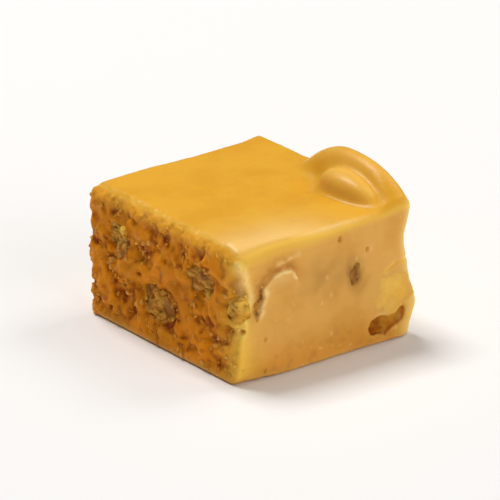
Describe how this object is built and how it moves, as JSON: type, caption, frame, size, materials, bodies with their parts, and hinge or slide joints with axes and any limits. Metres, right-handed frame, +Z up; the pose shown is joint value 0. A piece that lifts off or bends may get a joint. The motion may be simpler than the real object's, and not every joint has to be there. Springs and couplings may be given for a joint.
{
  "type": "fudge cube",
  "caption": "Hand-cut cube of caramel-coloured walnut fudge with a smooth poured top, a coated nut swelling at the top edge, waxy cut sides with walnut chunks and a torn crumbly side.",
  "frame": {"origin": "middle of the flat base, on the surface the piece rests on", "axes": "+Z up through the poured top, front cut face toward -Y, torn face toward -X, coated nut swelling at the +X edge"},
  "size_m": [0.0325, 0.0354, 0.0245],
  "materials": {
    "fudge": "waxy satin, slightly translucent",
    "walnut": "oily cut kernel",
    "walnut_skin": "dull papery skin"
  },
  "bodies": {
    "root": {"fudge": "fudge", "walnut_front_right": "walnut", "walnut_front_sliver": "walnut_skin", "walnut_corner": "walnut", "walnut_left_high": "walnut", "walnut_left_low": "walnut", "walnut_left_back": "walnut", "walnut_right_high": "walnut", "walnut_right_mid": "walnut", "walnut_right_low": "walnut_skin", "walnut_back_wide": "walnut", "walnut_back_low": "walnut", "walnut_back_high": "walnut_skin"}
  },
  "joints": []
}
